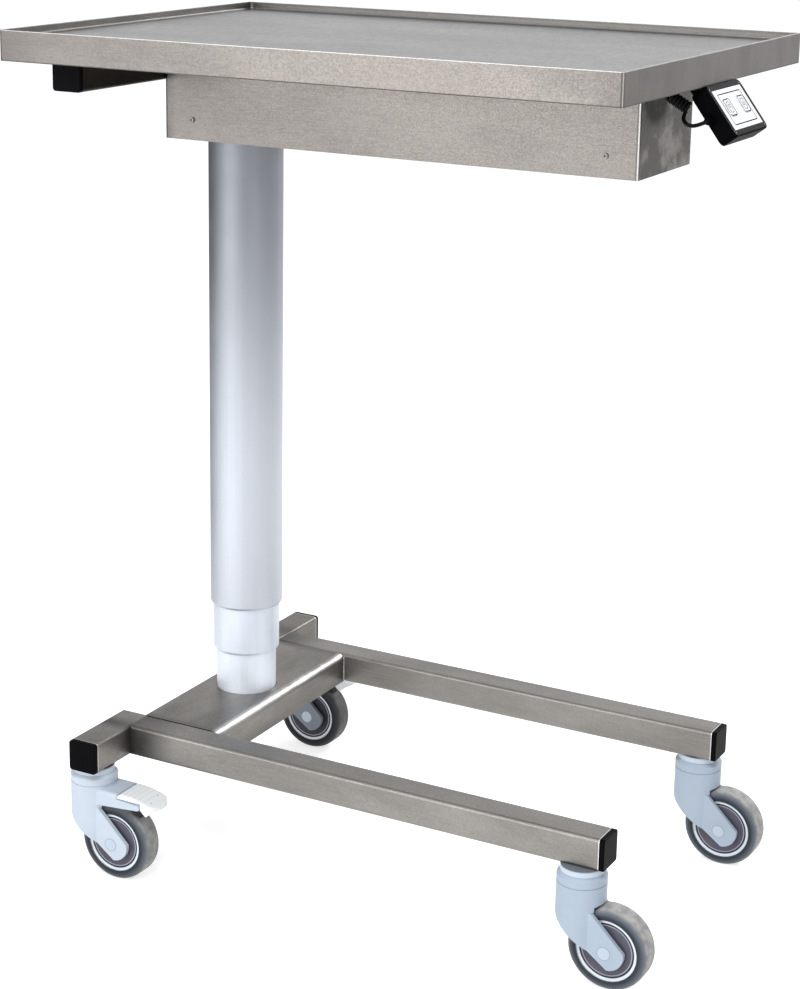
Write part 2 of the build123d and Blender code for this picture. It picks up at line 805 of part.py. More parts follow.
# Ribbed strain relief on the handset's right side, near its back
relief_origin = back.from_local_coords((-handset_width / 2, -relief_drop, relief_back))
relief_plane = Plane(relief_origin, x_dir=(1, 0, 0), z_dir=(0, -1, 0))
with BuildPart() as handset_relief:
    with BuildSketch(relief_plane):
        Circle(relief_root)
    extrude(amount=relief_length, taper=degrees(atan2(relief_root - relief_tip, relief_length)))
    with BuildSketch(*[relief_plane.offset(relief_length * (n + 0.5) / relief_ribs) for n in range(relief_ribs)]):
        Circle(2 * relief_root)
        Circle(relief_tip - relief_groove / 2, mode=Mode.SUBTRACT)
    extrude(amount=relief_length / relief_ribs / 3, mode=Mode.SUBTRACT)
save(handset_relief, "handset_relief")

# Gland in the housing's front wall
gland_plane = Plane(
    (housing_front_x, -cord_side, board_bottom - gland_drop), x_dir=(0, 1, 0), z_dir=(1, 0, 0)
)
with BuildPart() as cord_gland:
    with BuildSketch(gland_plane):
        RegularPolygon(gland_radius, 6)
    extrude(amount=gland_flange)
    with BuildSketch(gland_plane.offset(gland_flange)):
        Circle(gland_radius - 2)
    extrude(amount=gland_length, taper=degrees(atan2(gland_radius - 2 - gland_tip, gland_length)))
save(cord_gland, "cord_gland")


def cord_tube(name, route):
    """Round lead along straight runs joined by arcs as large as the runs allow."""
    points = [Vector(*point) for point in route]
    runs = [b - a for a, b in zip(points, points[1:])]
    radii = []
    for before, after in zip(runs, runs[1:]):
        half_turn = radians(before.get_angle(after)) / 2
        radii.append(0.45 * min(before.length, after.length) / tan(half_turn))
    with BuildPart() as tube:
        with BuildLine() as path:
            FilletPolyline(*points, radius=radii)
        with BuildSketch(Plane(points[0], z_dir=runs[0])):
            Circle(cord_diameter / 2)
        sweep(path=path.wires()[0])
    save(tube, name)
    expected = 3.14159265 * (cord_diameter / 2) ** 2 * path.wires()[0].length
    print(name, "length", round(path.wires()[0].length, 1), "radii", [round(r, 1) for r in radii],
          "volume", round(tube.part.volume), "expected", round(expected))


# Cord: a short loop out of the strain relief, the curly stretch as one fat tube, and a short tail
relief_end = relief_plane.offset(relief_length - 1).origin
cord_tube("cord_lead", (tuple(relief_end), *lead_route))
tail_start = gland_plane.offset(gland_flange + gland_length - 1).origin
coil_axis = (Vector(*coil_high) - Vector(*coil_low)).normalized()
tail_end = Vector(*coil_high) - coil_axis
tail_bend = Vector(*coil_high) + coil_axis * ((tail_start.Z - coil_high[2]) / coil_axis.Z)
cord_tube("cord_tail", (tuple(tail_start), tuple(tail_bend), tuple(tail_end)))

with BuildPart() as cord_coil:
    with BuildSketch(Plane(coil_low, z_dir=coil_axis)):
        Circle(coil_diameter / 2)
    extrude(amount=(Vector(*coil_high) - Vector(*coil_low)).length)
save(cord_coil, "cord_coil")
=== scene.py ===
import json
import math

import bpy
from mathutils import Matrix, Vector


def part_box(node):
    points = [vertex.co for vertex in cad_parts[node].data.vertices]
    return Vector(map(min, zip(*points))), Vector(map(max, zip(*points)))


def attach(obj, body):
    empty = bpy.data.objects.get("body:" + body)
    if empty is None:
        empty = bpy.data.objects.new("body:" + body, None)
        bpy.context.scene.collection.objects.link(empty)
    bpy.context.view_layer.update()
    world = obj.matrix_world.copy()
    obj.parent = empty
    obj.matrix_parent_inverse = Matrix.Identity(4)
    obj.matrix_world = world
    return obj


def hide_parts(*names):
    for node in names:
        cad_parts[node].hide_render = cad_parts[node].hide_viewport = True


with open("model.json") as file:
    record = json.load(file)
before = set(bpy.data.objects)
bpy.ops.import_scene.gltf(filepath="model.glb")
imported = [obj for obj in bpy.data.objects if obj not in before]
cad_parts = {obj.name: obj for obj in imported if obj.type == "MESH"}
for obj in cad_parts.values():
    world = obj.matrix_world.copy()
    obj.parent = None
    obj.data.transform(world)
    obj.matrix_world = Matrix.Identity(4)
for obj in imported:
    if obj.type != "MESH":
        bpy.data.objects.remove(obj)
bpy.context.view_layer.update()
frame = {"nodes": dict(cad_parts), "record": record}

# %% [markdown]
# This lesson dresses a height-adjustable instrument table: a stainless tray on a lifting
# column, a tubular base on four casters, and a small handset on a curly cord. The packed
# model gives every rigid part at its real place, so the lesson adds the camera and the
# light, the cord, the small details that a maker's hand leaves, and the finishes.

nodes = frame["nodes"]
print("nodes in the frame:", len(nodes))

# %% [markdown]
# The camera stands to the right of the front, a little above the tray, as a photographer
# would with a long lens. A long lens keeps the tubes nearly parallel. The place and the
# turn were found by matching corners of the tray and the base with the photograph, and
# the small shift puts the table where it sits in the picture.

# %% The camera
camera_place = Vector((1.23706, -2.36809, 1.29874))
camera_yaw, camera_pitch, camera_roll = (math.radians(a) for a in (28.86, -14.90, 0.78))
focal_length_mm, sensor_width_mm = 80.73, 36
shift_across, shift_up = 0.0322, -0.0772
nearest_seen, farthest_seen = 0.05, 60

looking = Vector((-math.sin(camera_yaw) * math.cos(camera_pitch),
                  math.cos(camera_yaw) * math.cos(camera_pitch), math.sin(camera_pitch)))
level_right = Vector((math.cos(camera_yaw), math.sin(camera_yaw), 0))
level_up = level_right.cross(looking)
right = math.cos(camera_roll) * level_right + math.sin(camera_roll) * level_up
upright = math.cos(camera_roll) * level_up - math.sin(camera_roll) * level_right

lens = bpy.data.cameras.new("studio_camera")
lens.lens, lens.sensor_width = focal_length_mm, sensor_width_mm
lens.shift_x, lens.shift_y = shift_across, shift_up
lens.clip_start, lens.clip_end = nearest_seen, farthest_seen
camera = bpy.data.objects.new("studio_camera", lens)
turn = Matrix((right, upright, -looking)).transposed().to_4x4()
camera.matrix_world = Matrix.Translation(camera_place) @ turn
bpy.context.scene.collection.objects.link(camera)
bpy.context.scene.camera = camera
print("camera at", tuple(round(v, 3) for v in camera_place))

# %% [markdown]
# The cord leaves the handset's strain relief, makes a small loop, runs up as a curly
# stretch and goes through a gland into the housing. A curly cord could be a mesh swept
# round a helix, but one smooth curve is closer to how the real one is made: the same
# flexible cord all the way, wound on a rod where it curls. The plain route of the curly
# stretch is laid first as a smooth curve, and points read from it will carry the helix.

# %% The cord's route
lead_points = [(.38605, -.065, .99356), (.3808, -.080, .990), (.3728, -.087, .990),
               (.3648, -.083, .995), (.3618, -.072, 1.001), (.3628, -.062, 1.006)]
coil_start, coil_end = Vector((.3628, -.062, 1.0055)), Vector((.3411, -.062, 1.0179))
tail_points = [(.3339, -.062, 1.022), (.3240, -.062, 1.022)]
cord_thickness = .0045


def smooth_curve(name, points):
    """One open NURBS spline that takes these points as its control points."""
    curve = bpy.data.curves.new(name, "CURVE")
    curve.dimensions = "3D"
    curve.resolution_u = 8
    spline = curve.splines.new("NURBS")
    spline.points.add(len(points) - 1)
    for spot, point in zip(spline.points, points):
        spot.co = (*point, 1)
        spot.radius = cord_thickness / 2
    spline.order_u = 3
    spline.use_endpoint_u = True
    made = bpy.data.objects.new(name, curve)
    bpy.context.scene.collection.objects.link(made)
    return made


def mesh_of(piece):
    """The mesh that a curve object makes where it stands."""
    bpy.context.view_layer.update()
    graph = bpy.context.evaluated_depsgraph_get()
    return bpy.data.meshes.new_from_object(piece.evaluated_get(graph))


route = smooth_curve("cord_route", [coil_start, coil_start.lerp(coil_end, .5), coil_end])
route_mesh = mesh_of(route)
axis_points = [v.co.copy() for v in route_mesh.vertices]
print("points read from the curly stretch:", len(axis_points))

# %% [markdown]
# The helix is a point that walks along the route while it turns round it. Fourteen steps
# to a turn make it smooth. Lead, helix and tail go into one curve, whose round bevel
# gives it the thickness: the bevel is one metre deep, and each point scales it down.

# %% The curly cord
coil_radius, coil_turns, steps_per_turn = .0053, 6, 14
coil_axis = (coil_end - coil_start).normalized()
coil_side = coil_axis.cross(Vector((0, 1, 0))).normalized()
coil_front = coil_axis.cross(coil_side).normalized()
steps = coil_turns * steps_per_turn
coil_points = []
for step in range(steps + 1):
    share = step / steps
    along = share * (len(axis_points) - 1)
    first = min(int(along), len(axis_points) - 2)
    middle = axis_points[first].lerp(axis_points[first + 1], along - first)
    angle = 2 * math.pi * coil_turns * share
    out = coil_side * math.cos(angle) + coil_front * math.sin(angle)
    coil_points.append(tuple(middle + coil_radius * out))
cord = smooth_curve("curly_cord", lead_points[:-1] + coil_points + tail_points)
cord.data.bevel_depth = 1.0
cord.data.bevel_resolution = 4
cord.data.use_fill_caps = True
bpy.data.objects.remove(route)
bpy.data.meshes.remove(route_mesh)
print("points on the cord:", len(cord.data.splines[0].points))

# %% [markdown]
# The cord takes the place of the three plain solids that stand for it in the rigid
# model, and it rides on the part that lifts.

# %% The cord's length
def curve_length(piece):
    """The length of a curve's own centreline, in metres."""
    bare = piece.data.copy()
    bare.bevel_depth = 0
    probe = bpy.data.objects.new("probe", bare)
    bpy.context.scene.collection.objects.link(probe)
    line = mesh_of(probe)
    total = sum((line.vertices[e.vertices[0]].co - line.vertices[e.vertices[1]].co).length
                for e in line.edges)
    bpy.data.objects.remove(probe)
    return total


cord_length = curve_length(cord)
print("cord length in mm:", round(cord_length * 1000, 1))
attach(cord, "top")
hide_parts("cord_lead", "cord_coil", "cord_tail")

# %% [markdown]
# A finish is a small tree of nodes. The helpers below keep each tree readable: one adds a
# node with its values, one joins two sockets, and the others mix or stretch what comes
# out of them. Colours are written as they are read in a picture and turned into light.

# %% Helpers for finishes
relief_depth = .0001


def new_finish(name, roughness, metallic=0.0):
    finish = bpy.data.materials.new(name)
    finish.use_nodes = True
    shader = finish.node_tree.nodes["Principled BSDF"]
    shader.inputs["Roughness"].default_value = roughness
    shader.inputs["Metallic"].default_value = metallic
    return finish, shader


def add_node(finish, kind, settings=None, **values):
    node = finish.node_tree.nodes.new("ShaderNode" + kind)
    for key, value in (settings or {}).items():
        setattr(node, key, value)
    for key, value in values.items():
        node.inputs[key.replace("_", " ")].default_value = value
    return node


def join(finish, source, target):
    finish.node_tree.links.new(source, target)


def give(finish, socket, value):
    """Sets a socket to a number or a colour, or joins another node's output to it."""
    if isinstance(value, (float, tuple)):
        socket.default_value = value
    else:
        join(finish, value, socket)


def calculate(finish, operation, first, second=0.0):
    node = add_node(finish, "Math", {"operation": operation})
    give(finish, node.inputs[0], first)
    give(finish, node.inputs[1], second)
    return node.outputs[0]


def times(finish, first, second):
    return calculate(finish, "MULTIPLY", first, second)


def spread(finish, value, low, high, out_low, out_high):
    """Stretches a value from one range to another, and keeps it inside the second."""
    node = add_node(finish, "MapRange", {"clamp": True, "interpolation_type": "SMOOTHSTEP"},
                    From_Min=low, From_Max=high, To_Min=out_low, To_Max=out_high)
    join(finish, value, node.inputs["Value"])
    return node.outputs["Result"]


def blend_colours(finish, share, first, second):
    mix = add_node(finish, "Mix", {"data_type": "RGBA", "blend_type": "MIX"})
    share_socket, first_socket, second_socket, mixed = 0, 6, 7, 2
    give(finish, mix.inputs[share_socket], share)
    give(finish, mix.inputs[first_socket], first)
    give(finish, mix.inputs[second_socket], second)
    return mix.outputs[mixed]


def raise_surface(finish, shader, height, strength):
    bump = add_node(finish, "Bump", Strength=strength, Distance=relief_depth)
    join(finish, height, bump.inputs["Height"])
    join(finish, bump.outputs["Normal"], shader.inputs["Normal"])


def linear(red, green, blue):
    """A colour read from a picture, 0 to 255, as the light values that shaders use."""
    def one(v):
        v = v / 255
        return v / 12.92 if v <= 0.04045 else ((v + 0.055) / 1.055) ** 2.4
    return (one(red), one(green), one(blue), 1.0)


def shade(colour, factor):
    return tuple(min(1.0, v * factor) for v in colour[:3]) + (1.0,)


print("a middle grey of 128 is the light value", round(linear(128, 128, 128)[0], 3))

# %% [markdown]
# Wear and dirt sit at a place: along an edge, round a screw, on the faces that look one
# way. Every pattern reads the piece's own coordinates in metres, so a brush line has its
# true width wherever the piece is, and the mark moves with the piece.

# %% Helpers for a place on a piece
def own_place(finish, scale=(1, 1, 1)):
    """The piece's own coordinates, stretched for a pattern."""
    spot = add_node(finish, "TexCoord")
    mapping = add_node(finish, "Mapping", Scale=scale)
    join(finish, spot.outputs["Object"], mapping.inputs["Vector"])
    return mapping.outputs["Vector"]


def own_axis(finish, axis, kind="Object"):
    """One of the three numbers of the piece's own place, or of its normal."""
    spot = add_node(finish, "TexCoord")
    apart = add_node(finish, "SeparateXYZ")
    join(finish, spot.outputs[kind], apart.inputs[0])
    return apart.outputs["XYZ".index(axis)]


def facing(finish, axis):
    """How much the surface faces along one axis of the piece, from -1 to 1."""
    return own_axis(finish, axis, "Normal")


def near(finish, axis, place, reach):
    """1 where a coordinate has this value, fading to 0 over the reach, in metres."""
    offset = calculate(finish, "SUBTRACT", own_axis(finish, axis), place)
    return spread(finish, calculate(finish, "ABSOLUTE", offset), 0.0, reach, 1.0, 0.0)


def away_from(finish, point, across):
    """The distance from a line through the point: a 0 in across leaves its direction out."""
    spot = add_node(finish, "TexCoord")
    offset = add_node(finish, "VectorMath", {"operation": "SUBTRACT"})
    flat = add_node(finish, "VectorMath", {"operation": "MULTIPLY"})
    reach = add_node(finish, "VectorMath", {"operation": "LENGTH"})
    join(finish, spot.outputs["Object"], offset.inputs[0])
    offset.inputs[1].default_value = point
    join(finish, offset.outputs[0], flat.inputs[0])
    flat.inputs[1].default_value = across
    join(finish, flat.outputs[0], reach.inputs[0])
    return reach.outputs["Value"]


def cloudy(finish, where, scale, detail=3.0, roughness=0.55):
    noise = add_node(finish, "TexNoise", Scale=scale, Detail=detail, Roughness=roughness)
    join(finish, where, noise.inputs["Vector"])
    return noise.outputs["Fac"]


# %% [markdown]
# Satin stainless steel is ground with a fine belt, so it has very fine lines that run
# along each tube and sheet, a speckle from the grain of the belt, and slow clouds where
# hands and cleaning cloths have been. An image could hold all that, but stretched noise
# does the same at any scale. Cut ends and folded edges get a painted highlight, corners
# and edges in shade get painted shade, and a few places are just darker, so the finish
# takes lists of bands: an axis, a place on it, how far the band reaches, and how strong it is.

# %% Satin steel
line_scale, line_scale_along = 1400.0, 45.0
cloud_scale, cloud_scale_along = 13.0, 5.0
belt_grain_scale = 620.0
# The colour of a painted highlight.
painted_highlight = (0.95, 0.94, 0.93, 1.0)


def stretched(across, lengthwise, axis):
    """One scale for two directions and another for the third."""
    scale = [across] * 3
    scale["xyz".index(axis)] = lengthwise
    return tuple(scale)


def satin_steel(name, colour, along, roughness=0.4, cloud=0.14, highlight_bands=(),
                shade_and_dark_bands=(), grain=.28):
    finish, shader = new_finish(name, roughness, metallic=1.0)
    lines_place = own_place(finish, stretched(line_scale, line_scale_along, along))
    lines = cloudy(finish, lines_place, 1.0, detail=2.0)
    speckle = cloudy(finish, own_place(finish), belt_grain_scale, detail=3.0)
    clouds_place = own_place(finish, stretched(cloud_scale, cloud_scale_along, along))
    clouds = cloudy(finish, clouds_place, 1.0, detail=8.0, roughness=0.6)
    base = blend_colours(finish, spread(finish, clouds, 0.34, 0.66, 0.0, 1.0),
                         shade(colour, 1 - cloud), shade(colour, 1 + 0.6 * cloud))
    base = blend_colours(finish, spread(finish, lines, 0.35, 0.65, 0.0, 0.3),
                         base, shade(colour, 1.35))
    base = blend_colours(finish, spread(finish, speckle, 0.35, 0.65, 0.0, grain),
                         base, shade(colour, 0.55))
    # Painted shade in corners and under edges, and a few bands that are just darker.
    for axis, place, reach, strength in shade_and_dark_bands:
        share = times(finish, near(finish, axis, place, reach),
                      spread(finish, clouds, 0.35, 0.6, 0.35 * strength, strength))
        base = blend_colours(finish, share, base, shade(colour, 0.3))
    # Painted highlights on cut ends and edges.
    for axis, place, reach, strength in highlight_bands:
        share = times(finish, near(finish, axis, place, reach), strength)
        base = blend_colours(finish, share, base, painted_highlight)
    join(finish, base, shader.inputs["Base Color"])
    join(finish, spread(finish, speckle, 0.3, 0.7, roughness - 0.05, roughness + 0.08),
         shader.inputs["Roughness"])
    raise_surface(finish, shader, lines, 0.08)
    return finish, shader, base


bright_steel = satin_steel("bright_steel", linear(150, 151, 153), "z", 0.3)[0]
print("first steel:", bright_steel.name, "with", len(bright_steel.node_tree.nodes), "nodes")

# %% [markdown]
# The base is square tube and one folded beam. Each piece gets its own tone and the brush
# lines run along it, and the far stub and the cross tube under the tray are darker all over
# as painted shade. The cut ends carry a painted highlight beside their caps, and painted
# shade lies in the corners where the stubs and the beam were welded on.

# %% The steel of the base
leg_end, leg_side, stub_end, stub_front = .35175, .201, .271, -.29925
beam_front, beam_end, beam_low, beam_top = -.19025, .161, .145, .1845
# Width and strength of the painted highlight at the cut ends.
end_highlight_reach, end_highlight_strength = .0014, .9
steel_grey = linear(136, 133, 129)

# The leg has painted shade toward the corner with the stub.
leg_steel = satin_steel(
    "leg_steel", steel_grey, "x", cloud=.2,
    highlight_bands=[("X", leg_end, end_highlight_reach, end_highlight_strength)],
    shade_and_dark_bands=[("X", stub_front, .075, 1.0), ("X", stub_front, .012, .8)])[0]
# The stubs have painted shade beside the leg.
stub_steel = satin_steel(
    "stub_steel", steel_grey, "y", cloud=.28,
    highlight_bands=[("Y", -stub_end, end_highlight_reach, end_highlight_strength),
                  ("Y", stub_end, end_highlight_reach, end_highlight_strength)],
    shade_and_dark_bands=[("Y", -leg_side, .022, .9)])[0]
# The far stub is darker all over, as painted shade.
shaded_far_stub_steel = satin_steel(
    "shaded_far_stub_steel", linear(108, 104, 100), "y", cloud=.4,
    highlight_bands=[("Y", stub_end, end_highlight_reach, end_highlight_strength)],
    shade_and_dark_bands=[("Y", leg_side, .03, .6)])[0]
# The cross tube under the tray is dark, as painted shade.
shaded_cross_steel = satin_steel("shaded_cross_steel", linear(60, 56, 52), "y", cloud=.5)[0]


def beam_sheet():
    """The folded beam's steel, with an uneven painted highlight along its front bend."""
    # Painted shade toward both ends by the legs; the beam is also darker toward its lower edge.
    finish, shader, base = satin_steel(
        "beam_steel", linear(128, 125, 121), "y", cloud=.35,
        shade_and_dark_bands=[("Y", beam_end, .02, .8), ("Y", -beam_end, .015, .6),
                    ("Z", beam_low, .022, .7)])
    # Painted highlight along the front bend.
    bend_highlight = times(finish, near(finish, "X", beam_front - .002, .011),
                near(finish, "Z", beam_top, .008))
    uneven = cloudy(finish, own_place(finish), 24.0, detail=4.0)
    bend_highlight = times(finish, bend_highlight, spread(finish, uneven, .35, .6, .25, .75))
    join(finish, blend_colours(finish, bend_highlight, base, (.88, .87, .88, 1.0)),
         shader.inputs["Base Color"])
    return finish


beam_steel = beam_sheet()
print("steels of the base:", [steel.name for steel in (leg_steel, stub_steel, shaded_far_stub_steel,
                                                       beam_steel, shaded_cross_steel)])

# %% [markdown]
# The tray is one sheet: its apron has the same satin steel as the tubes, but the sunk
# floor, pressed into the sheet, is greyer and more even, with painted streaks and a fine
# painted mottle of reflection. A mask picks the faces that look up at the floor's height.
# The end face over the handset has a mottled painted shade, the near corner and the top
# edge a painted highlight and the far rim painted light. Painted shade lies along the
# apron's lower edge and at its front end, and the rear end is darker.

# %% The tray's sheet
tray_rear, tray_front, tray_side = -.41675, .37425, .278
tray_floor, tray_top, rim_middle, apron_low = 1.0545, 1.0645, 1.060, 1.0285
corner_highlight_inset, corner_highlight_reach = .0008, .0015
sheet_grey = linear(114, 110, 107)
shaded_end_faces = (.8, .97, 0.0, 1.0)


def tray_sheet():
    # Painted highlight along the top edge, painted shade along the apron's lower edge and at
    # the front end, and a darker rear end.
    finish, shader, base = satin_steel(
        "tray_steel", sheet_grey, "x", 0.38, grain=.15,
        highlight_bands=[("Z", tray_top, .0010, .4)],
        shade_and_dark_bands=[("X", tray_rear, .06, .35), ("Z", apron_low, .0018, 1.6),
                    ("X", tray_front - .012, .03, .45)])
    # Painted highlight on the near corner.
    corner = times(finish, near(finish, "X", tray_front - corner_highlight_inset, corner_highlight_reach),
                   near(finish, "Y", -tray_side + corner_highlight_inset, corner_highlight_reach))
    outside = blend_colours(finish, times(finish, corner, .35), base, (.95, .95, .96, 1.0))
    # Mottled painted shade on the end faces that look along X.
    end_mottle = cloudy(finish, own_place(finish, (1, 1, .6)), 16.0, detail=6.0, roughness=.6)
    shaded_tray_end = times(finish, spread(finish, facing(finish, "X"), *shaded_end_faces),
                   spread(finish, end_mottle, .42, .62, 0.0, .5))
    outside = blend_colours(finish, shaded_tray_end, outside, shade(sheet_grey, .55))
    # Painted light on the far rim's inner faces.
    far_rim_light = times(finish, near(finish, "Z", rim_middle, .0052),
                    near(finish, "Y", tray_side, .006))
    outside = blend_colours(finish, times(finish, far_rim_light, .5), outside,
                            linear(190, 188, 184))

    # Painted reflection: streaks and a fine mottle on the tray's floor.
    reflection_streaks = cloudy(finish, own_place(finish, (1, 2.2, 1)), 5.0, detail=6.0)
    floor_with_reflections = blend_colours(finish, spread(finish, reflection_streaks, .35, .65, 0.0, 1.0),
                           linear(140, 140, 141), linear(156, 156, 157))
    reflection_mottle = cloudy(finish, own_place(finish, (1, .2, 1)), 320.0, detail=4.0, roughness=.7)
    floor_with_reflections = blend_colours(finish, spread(finish, reflection_mottle, .36, .64, 0.0, .5), floor_with_reflections,
                           linear(104, 104, 104))
    floor_share = times(finish, spread(finish, facing(finish, "Z"), .75, .95, 0.0, 1.0),
                        near(finish, "Z", tray_floor, .004))
    join(finish, blend_colours(finish, floor_share, outside, floor_with_reflections),
         shader.inputs["Base Color"])
    return finish


tray_steel = tray_sheet()
print("tray finish nodes:", len(tray_steel.node_tree.nodes))

# %% [markdown]
# The housing is folded from the same sheet. Its end wall has a mottled painted shade and a
# painted shadow under the tray's edge. Where the painted shadow lies, the metal is taken
# away too, so that it mirrors nothing. The small screws sit in recesses with painted shade,
# the upright corner nearest to the handset has a painted highlight, a painted shadow runs
# under the apron, and the housing is darker toward its rear end.

# %% The housing's sheet
housing_rear, housing_front, housing_side, housing_low = -.31675, .31425, .0800, .9235
shadow_aside, shadow_height = -.035, 1.028
screw_places, screw_height = (-.27675, .27425), .9485
recess_inside, recess_outside = .0009, .0014
shade_black = linear(30, 28, 26)


def housing_sheet():
    # Painted shadow under the apron's lower edge, and a darker rear end.
    finish, shader, base = satin_steel(
        "housing_steel", sheet_grey, "x", 0.4, cloud=.12, grain=.15,
        shade_and_dark_bands=[("X", housing_rear, .02, .5), ("Z", apron_low, .0016, 1.4)])
    # Mottled painted shade on the end wall that looks along X.
    end_wall = spread(finish, facing(finish, "X"), *shaded_end_faces)
    end_wall_mottle = cloudy(finish, own_place(finish), 21.0, detail=7.0, roughness=.62)
    shaded_end_wall = times(finish, end_wall, spread(finish, end_wall_mottle, .44, .58, 0.0, .9))
    colour = blend_colours(finish, shaded_end_wall, base, linear(60, 58, 54))
    shade_specks = cloudy(finish, own_place(finish), 62.0, detail=8.0, roughness=.7)
    specked_shade = times(finish, end_wall, spread(finish, shade_specks, .46, .6, 0.0, .75))
    colour = blend_colours(finish, specked_shade, colour, linear(66, 64, 58))

    # Painted shadow under the tray's edge, which also takes the metal away.
    shadow_under_tray = times(finish, times(finish, end_wall, near(finish, "Y", shadow_aside, .05)),
                 near(finish, "Z", shadow_height, .06))
    shadow_under_tray = times(finish, spread(finish, shadow_under_tray, 0.0, .3, 0.0, 1.0),
                 spread(finish, end_wall_mottle, .3, .55, .45, 1.0))
    colour = blend_colours(finish, shadow_under_tray, colour, shade_black)
    shader.inputs["Specular IOR Level"].default_value = 0.06
    join(finish, spread(finish, shadow_under_tray, 0.0, 1.0, 1.0, 0.1), shader.inputs["Metallic"])

    # Painted highlight on the upright corner nearest to the handset.
    corner = times(finish, near(finish, "X", housing_front - .0010, .0018),
                   near(finish, "Y", -housing_side, .0018))
    colour = blend_colours(finish, times(finish, corner, .75), colour, painted_highlight)
    # Painted shade in the recess round each screw.
    for screw_x in screw_places:
        from_screw = away_from(finish, (screw_x, 0, screw_height), (1, 0, 1))
        recess_shade = spread(finish, from_screw, recess_inside, recess_outside, .85, 0.0)
        colour = blend_colours(finish, recess_shade, colour, shade_black)
    join(finish, colour, shader.inputs["Base Color"])
    return finish


housing_steel = housing_sheet()
print("housing finish nodes:", len(housing_steel.node_tree.nodes))

# %% [markdown]
# The column tubes are drawn aluminium with a satin, slightly bluish coat. Drawing leaves
# faint lines along the tube, and the coat has a fine grain that catches the light. The
# outer tube gets darker toward the housing, a painted shade for the housing's shadow. The
# two sliding tubes have painted light: they are pale in the short stretch that shows when
# the table is down, and silver above.

# %% Satin column tubes
housing_shade_reach, painted_light_fade = .52, .13


def satin_column(name, colour, roughness, metallic, shaded_toward=None, painted_light_below=None):
    finish, shader = new_finish(name, roughness, metallic=metallic)
    drawn = cloudy(finish, own_place(finish, (260, 260, 2.0)), 1.0, detail=3.0)
    grain = cloudy(finish, own_place(finish), 900.0, detail=3.0)
    clouds = cloudy(finish, own_place(finish), 6.0, detail=5.0)
    base = blend_colours(finish, spread(finish, clouds, 0.3, 0.7, 0.0, 1.0),
                         shade(colour, .9), colour)
    base = blend_colours(finish, spread(finish, drawn, 0.3, 0.7, 0.0, 0.3),
                         base, shade(colour, .86))
    base = blend_colours(finish, spread(finish, grain, 0.35, 0.65, 0.0, 0.16),
                         base, shade(colour, .6))
    # Painted shade toward the housing, for the housing's shadow.
    if shaded_toward:
        share = near(finish, "Z", shaded_toward, housing_shade_reach)
        base = blend_colours(finish, share, base, shade(colour, .4))
    # Painted light: the pale colour below this height, silver above.
    if painted_light_below:
        share = spread(finish, own_axis(finish, "Z"), painted_light_below - .01,
                       painted_light_below + painted_light_fade, 0.0, 1.0)
        base = blend_colours(finish, share, base, shade(colour, .52))
    join(finish, base, shader.inputs["Base Color"])
    join(finish, spread(finish, clouds, 0.3, 0.7, roughness - 0.05, roughness + 0.08),
         shader.inputs["Roughness"])
    raise_surface(finish, shader, grain, 0.1)
    return finish


outer_low, middle_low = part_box("outer_tube")[0][2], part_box("middle_tube")[0][2]
column_silver = satin_column("column_silver", linear(199, 204, 213), .50, .75,
                             shaded_toward=housing_low)
sliding_silver = satin_column("sliding_silver", linear(222, 229, 240), .44, .5,
                              painted_light_below=outer_low)
inner_silver = satin_column("inner_silver", linear(236, 243, 253), .44, .5,
                            painted_light_below=middle_low)
print("lower edges of the outer and the middle tube, mm:",
      round(outer_low * 1000, 1), round(middle_low * 1000, 1))

# %% [markdown]
# The moulded parts share one recipe: a base colour, a fine grain from the mould, a slow
# change of tone, and a roughness that follows the grain. The colours and the scale of the
# grain make one a hard black cap and another a soft rubber shoe. Two forks get a lit and a
# shaded copy of the caster grey, as painted light and painted shade, and the collar on top
# of each caster fades to black at its top edge, a painted shadow of the tube above it.

# %% Moulded plastics and rubber
slow_tone_scale = 22.0


def moulded(name, colour, roughness, grain_scale=900.0, grain=0.1, tone=0.12, specular=0.4):
    finish, shader = new_finish(name, roughness)
    fine = cloudy(finish, own_place(finish), grain_scale, detail=2.0)
    slow = cloudy(finish, own_place(finish), slow_tone_scale, detail=4.0)
    toned = blend_colours(finish, spread(finish, slow, 0.3, 0.7, 0.0, 1.0),
                          shade(colour, 1 - tone), shade(colour, 1 + tone))
    join(finish, toned, shader.inputs["Base Color"])
    join(finish, spread(finish, fine, 0.3, 0.7, roughness - 0.06, roughness + 0.08),
         shader.inputs["Roughness"])
    raise_surface(finish, shader, fine, grain)
    shader.inputs["Specular IOR Level"].default_value = specular
    return finish, shader, toned


